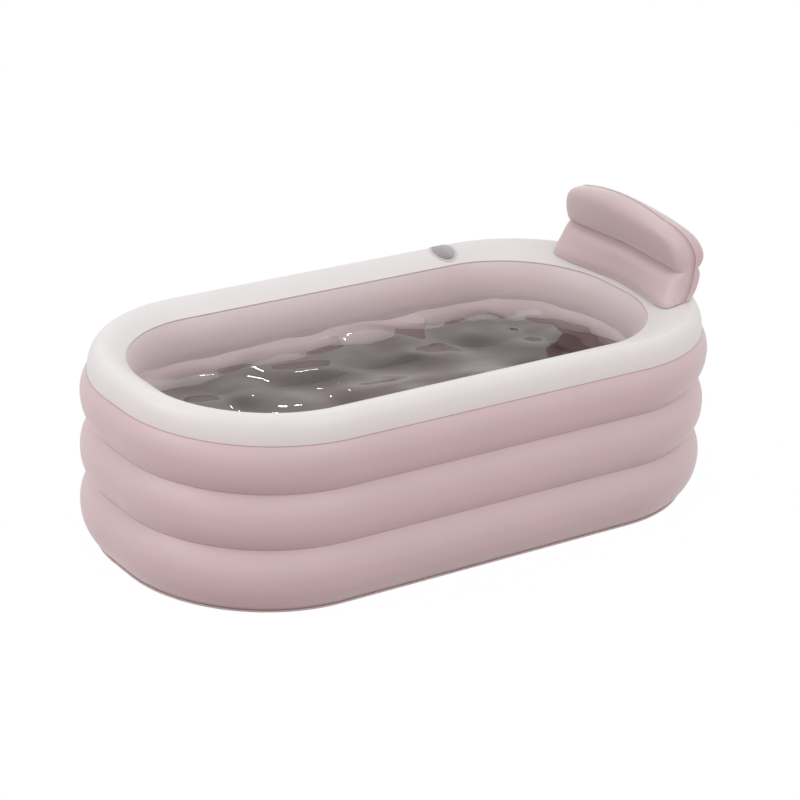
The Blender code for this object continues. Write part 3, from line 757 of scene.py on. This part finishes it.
def breathe(row, amount, seed):
    """Lift a row's points a little in and out, in long soft waves."""
    moved = []
    for p in row:
        away = Vector((p.x, p.y, 0)).normalized()
        swell = noise.noise(Vector((p.x * BREATH_ALONG, p.y * BREATH_ALONG, p.z * BREATH_UP + seed)))
        moved.append(p + away * amount * swell)
    return moved


def outer_band(tag, start, end, material, seed):
    """One ring's outer film with the hole of its valve, from start to end, each an outset and a height."""
    rows = []
    bulge = WALL_BULGE - (start[0] + end[0]) / 2
    for k in range(BAND_STEPS + 1):
        share = k / BAND_STEPS
        outset = start[0] + (end[0] - start[0]) * share + bulge * band_share(share)
        row = OUTER.row(outset, start[1] + (end[1] - start[1]) * share)
        rows.append(seated(breathe(row, BREATH * sin(pi * share), seed), PLACES[tag]))
    body = thicken(grid_object("outer_film_" + tag, rows, True, material))
    drill(body, PLACES[tag], VALVE.collar + VALVE_CLEARANCE, VALVE_DRILL)
    finished(body, "pink_film", "outer_wall_" + tag)


def inner_band(tag, low, high, slot, material, seed):
    """One ring's inner film between two levels."""
    rows = []
    for k in range(BAND_STEPS + 1):
        share = 1 - k / BAND_STEPS
        row = INNER.row(-INNER_BULGE * band_share(share), low + (high - low) * share)
        rows.append(breathe(row, BREATH * sin(pi * share), seed))
    body = thicken(grid_object("inner_film_" + tag, rows, True, material))
    finished(body, slot, "inner_wall_" + tag)


def rim_rows():
    """Rows of the rim cover from the outer seam over the crest to the inner seam."""
    rows = []
    foot = RIM_SEAM_Z + GAP / 2
    reach = RIM_CREST_INSET + RIM_SEAM_OUTSET
    for k in range(SHOULDER_STEPS + 1):
        angle = pi / 2 * k / SHOULDER_STEPS
        level = foot + (RIM_CREST_Z - foot) * sin(angle)
        rows.append(OUTER.row(reach * cos(angle) - RIM_CREST_INSET, level))
    crest = OUTER.row(-RIM_CREST_INSET, 0)
    inner = INNER.row(0, 0)
    for k in range(1, DOME_STEPS + 1):
        share = k / DOME_STEPS
        level = RIM_CREST_Z - RIM_CREST_DROP * share ** DOME_POWER
        rows.append([c.lerp(i, share) + Vector((0, 0, level)) for c, i in zip(crest, inner)])
    return rows


def build_rings(materials):
    """Outer and inner films of the three rings, the webs, the rim cover and the beads in its seams."""
    half = FILM / 2 + GAP
    base = FLOOR_TOP + GAP
    ends = (("lower", (-BASE_INSET, base), (0, LOWER_CREASE_Z - half), LOWER_CREASE_Z - half),
            ("middle", (0, LOWER_CREASE_Z + half), (0, UPPER_CREASE_Z - half), UPPER_CREASE_Z - half),
            ("upper", (0, UPPER_CREASE_Z + half), (RIM_SEAM_OUTSET, RIM_SEAM_Z - GAP / 2),
             INNER_SEAM_Z - FILM - GAP))
    for seed, (tag, start, end, inner_top) in enumerate(ends):
        outer_band(tag, start, end, materials["pink_film"], seed)
        # Pink inner films take the lighter lining, which paints light into the shaded inside of the tub
        slot = frame_slot("inner_wall_" + tag)
        film = materials["painted_light_lining" if slot == "pink_film" else slot]
        inner_band(tag, start[1], inner_top, slot, film, seed + LINING_SEED)
    for tag, level in (("lower", LOWER_CREASE_Z), ("upper", UPPER_CREASE_Z)):
        rows = [OUTER.row(0, level + FILM / 2), INNER.row(0, level + FILM / 2)]
        web = thicken(grid_object("crease_web_" + tag, rows, True, materials["pink_film"]))
        finished(web, "pink_film", "web_" + tag)
    cover = grid_object("rim_film", rim_rows(), True, materials["white_film"])
    top = surface_of(cover)
    thicken(cover)
    drill(cover, Matrix.Translation((CUP_X, CUP_Y, RIM_CREST_Z)), CUP_RADIUS + CUP_CLEARANCE, CUP_DRILL)
    finished(cover, "white_film", "rim_cover")
    seams = (("outer_seam", OUTER.row(RIM_SEAM_OUTSET, RIM_SEAM_Z), "weld"),
             ("inner_seam", INNER.row(-SEAM_BEAD / 3, INNER_SEAM_Z - FILM), "pale_weld"))
    for name, path, material in seams:
        finished(weld_bead(name, path, True, materials[material]), "pink_film")
    return top


# Floor

def floor_swell(x, y, share):
    """How far the floor swells up, at a share of the way in from its edge. It stays flat round the drain."""
    from_drain = hypot(x - DRAIN_X, y - DRAIN_Y)
    clear = smooth(DRAIN.flange_radius, 3 * DRAIN.flange_radius, from_drain)
    swell = noise.noise(Vector((x * FLOOR_SWELL_SCALE, y * FLOOR_SWELL_SCALE, FLOOR_SWELL_SEED)))
    return FLOOR_SWELL * max(0, swell) * min(1, share / FLOOR_CALM) * clear


def build_floor(grey, pink):
    """The floor sheet, out to its weld lip, and the strip welded over the lip."""
    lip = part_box("floor_sheet")[1].x - HALF_LENGTH
    shares = [(k / FLOOR_STEPS) ** FLOOR_POWER for k in range(FLOOR_STEPS + 1)]
    rows = rows_inwards(OUTER.row(lip, FLOOR_TOP), 0, HALF_LENGTH - CORNER_RADIUS, shares, floor_swell)
    floor = thicken(grid_object("floor_film", rows, True, grey), FLOOR_TOP)
    drill(floor, DRAIN_PLACE, DRAIN.bore + DRAIN_CLEARANCE, DRAIN_DRILL)
    finished(floor, "grey_film", "floor_sheet")
    strip_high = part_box("base_weld_strip")[1].z
    near = STRIP_REACH - BASE_INSET
    fold = lip + FILM + GAP
    rows = [OUTER.row(fold, 0), OUTER.row(fold, FLOOR_TOP), OUTER.row(lip, strip_high),
            OUTER.row((near + lip) / 2, strip_high + STRIP_CROWN), OUTER.row(near, strip_high)]
    strip = thicken(grid_object("base_weld", rows, True, pink))
    finished(strip, "pink_film", "base_weld_strip")


# Backrest

def side_round(share):
    """How much of the depth is left at a place across the pillow."""
    return (1 - min(abs(share), 1) ** SIDE_POWER) ** (1 / SIDE_POWER)


def lobe(share):
    """Bulge of a lobe at a share of its height."""
    return 1 - abs(2 * share - 1) ** LOBE_POWER


class Pillow:
    """Points of the backrest's faces, standing on the rim cover."""

    def __init__(self, rim):
        self.rim = rim

    def seam_x(self, level, across):
        """The seam leans forward as it rises. Its foot bows round the tub's end, and its top bows back."""
        bow = (BACKREST_FOOT_BOW + BACKREST_TOP_SWEEP) * (1 - level) ** 2 - BACKREST_TOP_SWEEP
        return BACKREST_SEAM_X - BACKREST_LEAN_OFFSET * level ** 2 - bow * across ** 2

    def depth(self, side, level, across):
        """How far a face stands from the seam."""
        base, middle, crest, notch = FRONT_DEPTHS if side < 0 else BACK_DEPTHS
        notch *= 1 - smooth(NOTCH_FADE_START, NOTCH_FADE_END, abs(across))
        if level < BACKREST_CREASE_SHARE:
            share = level / BACKREST_CREASE_SHARE
            flat = base + (middle - base) * share
            return flat + LOWER_LOBE_BULGE * lobe(share) - notch * share ** NOTCH_POWER
        share = (level - BACKREST_CREASE_SHARE) / (1 - BACKREST_CREASE_SHARE)
        body = middle + (crest - middle) * lobe(share) - notch * (1 - share) ** NOTCH_POWER
        return body * (1 - share ** TOP_POWER) ** (1 / TOP_POWER)

    def half_width(self, level, height, inset):
        """Half the pillow's width at a share of its height, with round top corners."""
        if level < BACKREST_CREASE_SHARE:
            return BACKREST_HALF_BASE - BACKREST_WAIST_TUCK * level / BACKREST_CREASE_SHARE - inset
        share = (level - BACKREST_CREASE_SHARE) / (1 - BACKREST_CREASE_SHARE)
        width = BACKREST_HALF_BASE - BACKREST_WAIST_TUCK * (1 - share) - BACKREST_TOP_TUCK * share - inset
        into = level * height - (height - BACKREST_CORNER)
        if into > 0:
            width -= BACKREST_CORNER - sqrt(max(BACKREST_CORNER ** 2 - into ** 2, 0))
        return width

    def point(self, side, level, across, inset=0):
        """A point of a face, or of one that lies further in."""
        foot_x = self.seam_x(0, across) + side * self.depth(side, 0, across) * side_round(across)
        foot = height_on(self.rim, foot_x, BACKREST_HALF_BASE * across) + FILM + 2 * SEAT_GAP
        height = BACKREST_TOP - BACKREST_TOP_DROOP * across ** 2 - foot
        depth = GAP / 2 + (self.depth(side, level, across) - inset) * side_round(across)
        y = self.half_width(level, height, inset) * across
        return Vector((self.seam_x(level, across) + side * depth, y, foot + height * level))

    def row(self, side, level, inset=0):
        """A row of points across a face, closer together towards its ends."""
        shares = [sin(pi / 2 * (2 * k / PILLOW_STEPS - 1)) for k in range(PILLOW_STEPS + 1)]
        return [self.point(side, level, across, inset) for across in shares]

    def rows(self, side):
        """Rows of one face from the base to the top, closer together at the crease and the top."""
        lower = int(PILLOW_STEPS * BACKREST_CREASE_SHARE)
        upper = PILLOW_STEPS - lower
        levels = [BACKREST_CREASE_SHARE * sin(pi / 2 * k / lower) for k in range(lower)]
        levels += [BACKREST_CREASE_SHARE + (1 - BACKREST_CREASE_SHARE) * (1 - cos(pi * k / upper)) / 2
                   for k in range(upper + 1)]
        return [self.row(side, level) for level in levels]

    def sheet(self, level, inset):
        """Rows of a sheet from the front face to the back face."""
        front = self.row(-1, level, inset)[1:-1]
        back = self.row(1, level, inset)[1:-1]
        return [[f.lerp(b, k / SHEET_STEPS) for f, b in zip(front, back)] for k in range(SHEET_STEPS + 1)]


def build_backrest(rim, pink, seam):
    """Front and back films of the backrest, its base and baffle, and the bead along its seam."""
    pillow = Pillow(rim)
    front_rows = pillow.rows(-1)
    back_rows = [seated(row, PLACES["backrest"]) for row in pillow.rows(1)]
    reversed_rows = [list(reversed(row)) for row in front_rows]
    front = thicken(grid_object("backrest_face", reversed_rows, False, pink))
    rear = thicken(grid_object("backrest_rear", back_rows, False, pink))
    drill(rear, PLACES["backrest"], VALVE.collar + VALVE_CLEARANCE, VALVE_DRILL)
    for body, name in ((front, "backrest_front"), (rear, "backrest_back")):
        finished(body, "pink_film", name)
    lift = Vector((0, 0, SEAT_GAP + FILM))
    base = [[Vector((p.x, p.y, height_on(rim, p.x, p.y))) + lift for p in row]
            for row in pillow.sheet(0, 0)]
    sheets = (("backrest_foot", base, "backrest_base"),
              ("backrest_web", pillow.sheet(BACKREST_CREASE_SHARE, BAFFLE_INSET), "backrest_baffle"))
    for name, rows, stands_for in sheets:
        finished(thicken(grid_object(name, rows, False, pink)), "pink_film", stands_for)
    edge = [row[0] for row in front_rows] + front_rows[-1][1:-1]
    edge += [row[-1] for row in reversed(front_rows)]
    finished(weld_bead("backrest_seam", edge, False, seam), "pink_film")


# Cup holder

def cup_circle(radius):
    """Places on a circle round the cup's axis."""
    angles = [2 * pi * k / ROUND_STEPS for k in range(ROUND_STEPS)]
    return [(CUP_X + radius * cos(a), CUP_Y + radius * sin(a)) for a in angles]


def level_ring(radius, level):
    """A ring of the cup at one level."""
    return [Vector((x, y, level)) for x, y in cup_circle(radius)]


def cup_rings(rim):
    """Rings of the cup from under its lip over the mouth down to the floor, and those of its outside."""
    def rim_ring(radius, lift):
        """A ring that follows the rim cover at a lift above it."""
        return [Vector((x, y, height_on(rim, x, y) + lift)) for x, y in cup_circle(radius)]

    lip_radius = CUP_RADIUS + CUP_LIP
    mouth = CUP_RADIUS - CUP_WALL
    half = CUP_WALL / 2
    over = SEAT_GAP + CUP_WALL
    rings = [rim_ring(CUP_RADIUS, SEAT_GAP), rim_ring(lip_radius - CUP_WALL / 3, SEAT_GAP)]
    for k in range(1, FILLET_STEPS + 1):
        angle = pi * k / (FILLET_STEPS + 1) - pi / 2
        rings.append(rim_ring(lip_radius + half * (cos(angle) - 1), SEAT_GAP + half * (1 + sin(angle))))
    rings.append(rim_ring(mouth + CUP_WALL, over))
    rings.append(rim_ring(mouth + CUP_MOUTH_CHAMFER, over - CUP_MOUTH_CHAMFER))
    rings.append(rim_ring(mouth, over - CUP_WALL))
    floor = CUP_BOTTOM + CUP_WALL
    foot = mouth - CUP_TAPER
    high = rings[-1]
    low = level_ring(foot, floor + CUP_FILLET)
    for k in range(1, CUP_STEPS):
        rings.append([p.lerp(q, k / CUP_STEPS) for p, q in zip(high, low)])
    outer_fillet = CUP_FILLET + CUP_WALL
    outside = []
    for k in range(FILLET_STEPS + 1):
        angle = pi / 2 * k / FILLET_STEPS
        radius = foot - CUP_FILLET * (1 - cos(angle))
        rings.append(level_ring(radius, floor + CUP_FILLET * (1 - sin(angle))))
        angle = pi / 2 * (1 - k / FILLET_STEPS)
        radius = foot + CUP_WALL - outer_fillet * (1 - cos(angle))
        outside.append(level_ring(radius, CUP_BOTTOM + outer_fillet * (1 - sin(angle))))
    return rings, outside


def build_cup(rim, grey):
    """Moulded cup with a rounded floor, whose lip follows the rim."""
    inside, outside = cup_rings(rim)
    rings = inside + outside
    floor = len(inside) - 1
    faces = []
    for r in range(len(rings)):
        if r != floor:
            faces += faces_between(r * ROUND_STEPS, (r + 1) % len(rings) * ROUND_STEPS, ROUND_STEPS)
    for r in (floor, floor + 1):
        faces.append(tuple(range(r * ROUND_STEPS, (r + 1) * ROUND_STEPS)))
    cup = object_from("cup", [p for ring in rings for p in ring], faces, grey)
    outwards(cup)
    finished(cup, "grey_plastic", "cup_holder")


# Stage

def wave(x, y, share):
    """Height of the water over its rest level, at a share of the way in from its edge."""
    height = sum(part * noise.noise(Vector((x * scale, y * scale, seed)))
                 for scale, part, seed in WAVES)
    return WAVE_HEIGHT * height * smooth(0, WAVE_EDGE, share)


def build_water():
    """A wavy sheet of clear water inside the tub."""
    share = (WATER_Z - UPPER_CREASE_Z) / (INNER_SEAM_Z - UPPER_CREASE_Z)
    edge = INNER.row(WATER_OVERLAP - INNER_BULGE * band_share(share), WATER_Z)
    middle_x = (INNER_HEAD_X + INNER_FOOT_X) / 2
    spine = (INNER_HEAD_X - INNER_FOOT_X) / 2 - INNER_CORNER_RADIUS
    shares = [k / WATER_STEPS for k in range(WATER_STEPS + 1)]
    rows = rows_inwards(edge, middle_x, spine, shares, wave)
    grid_object("water", rows, True, water_material())


def build_ground():
    """A pale floor that shows white to the camera and keeps a soft shadow."""
    material, tree, shader = shader_of("ground")
    shader.inputs["Base Color"].default_value = GROUND_COLOUR
    shader.inputs["Roughness"].default_value = GROUND_ROUGHNESS
    shader.inputs["Specular IOR Level"].default_value = 0
    glow = node(tree, "ShaderNodeEmission", Color=WHITE, Strength=GROUND_GLOW)
    part = node(tree, "ShaderNodeMath", operation="MULTIPLY")
    part.inputs[1].default_value = GROUND_GLOW_SHARE
    tree.links.new(seen_rays(tree), part.inputs[0])
    show_mix(tree, part.outputs["Value"], shader.outputs["BSDF"], glow.outputs["Emission"], "Material Output")
    corners = [(x * GROUND_HALF, y * GROUND_HALF, 0) for x, y in ((-1, -1), (1, -1), (1, 1), (-1, 1))]
    floor = object_from("ground", corners, [(0, 1, 2, 3)], material)
    floor.location.z = -GROUND_DROP


def build_world():
    """Even soft light, with a white backdrop for the camera, gloss and clear pieces."""
    world = bpy.data.worlds.new("studio")
    bpy.context.scene.world = world
    world.use_nodes = True
    tree = world.node_tree
    soft = tree.nodes["Background"]
    soft.inputs["Color"].default_value = WHITE
    soft.inputs["Strength"].default_value = WORLD_LIGHT
    white = node(tree, "ShaderNodeBackground", Color=WHITE, Strength=1)
    show_mix(tree, seen_rays(tree), soft.outputs["Background"], white.outputs["Background"], "World Output")


def area_light(name, place, size, power):
    """A soft box that looks at the tub."""
    lamp = bpy.data.lights.new(name, "AREA")
    lamp.shape = "RECTANGLE"
    lamp.size, lamp.size_y = size
    lamp.energy = power
    body = linked(name, lamp)
    body.location = place
    body.rotation_mode = "QUATERNION"
    body.rotation_quaternion = (Vector(CAMERA_TARGET) - Vector(place)).to_track_quat("-Z", "Y")


def build_camera():
    """The photograph's view: azimuth 0 looks along +Y."""
    azimuth = radians(CAMERA_AZIMUTH)
    elevation = radians(CAMERA_ELEVATION)
    back = Vector((sin(azimuth) * cos(elevation), -cos(azimuth) * cos(elevation), sin(elevation)))
    right = (-back).cross(Vector((0, 0, 1))).normalized()
    up = right.cross(-back)
    roll = radians(CAMERA_ROLL)
    across = right * cos(roll) + up * sin(roll)
    upright = up * cos(roll) - right * sin(roll)
    data = bpy.data.cameras.new("camera")
    data.lens = CAMERA_LENS
    data.sensor_width = CAMERA_SENSOR
    camera = linked("camera", data)
    turn = Matrix((across, upright, back)).transposed().to_4x4()
    camera.matrix_world = Matrix.Translation(Vector(CAMERA_TARGET) + back * CAMERA_DISTANCE) @ turn
    bpy.context.scene.camera = camera


def build():
    """The whole scene."""
    materials = {slot: film_material(*values) for slot, values in FILMS.items()}
    for name, body in frame["nodes"].items():
        body.data.materials.clear()
        body.data.materials.append(materials[frame_slot(name)])
    build_camera()
    rim = build_rings(materials)
    build_floor(materials["grey_film"], materials["pink_film"])
    build_backrest(rim, materials["pink_film"], materials["weld"])
    build_cup(rim, materials["grey_plastic"])
    build_valves(materials["fitting"])
    build_water()
    build_ground()
    build_world()
    for lamp in LAMPS:
        area_light(*lamp)
    bpy.context.scene.view_settings.view_transform = "Standard"


build()
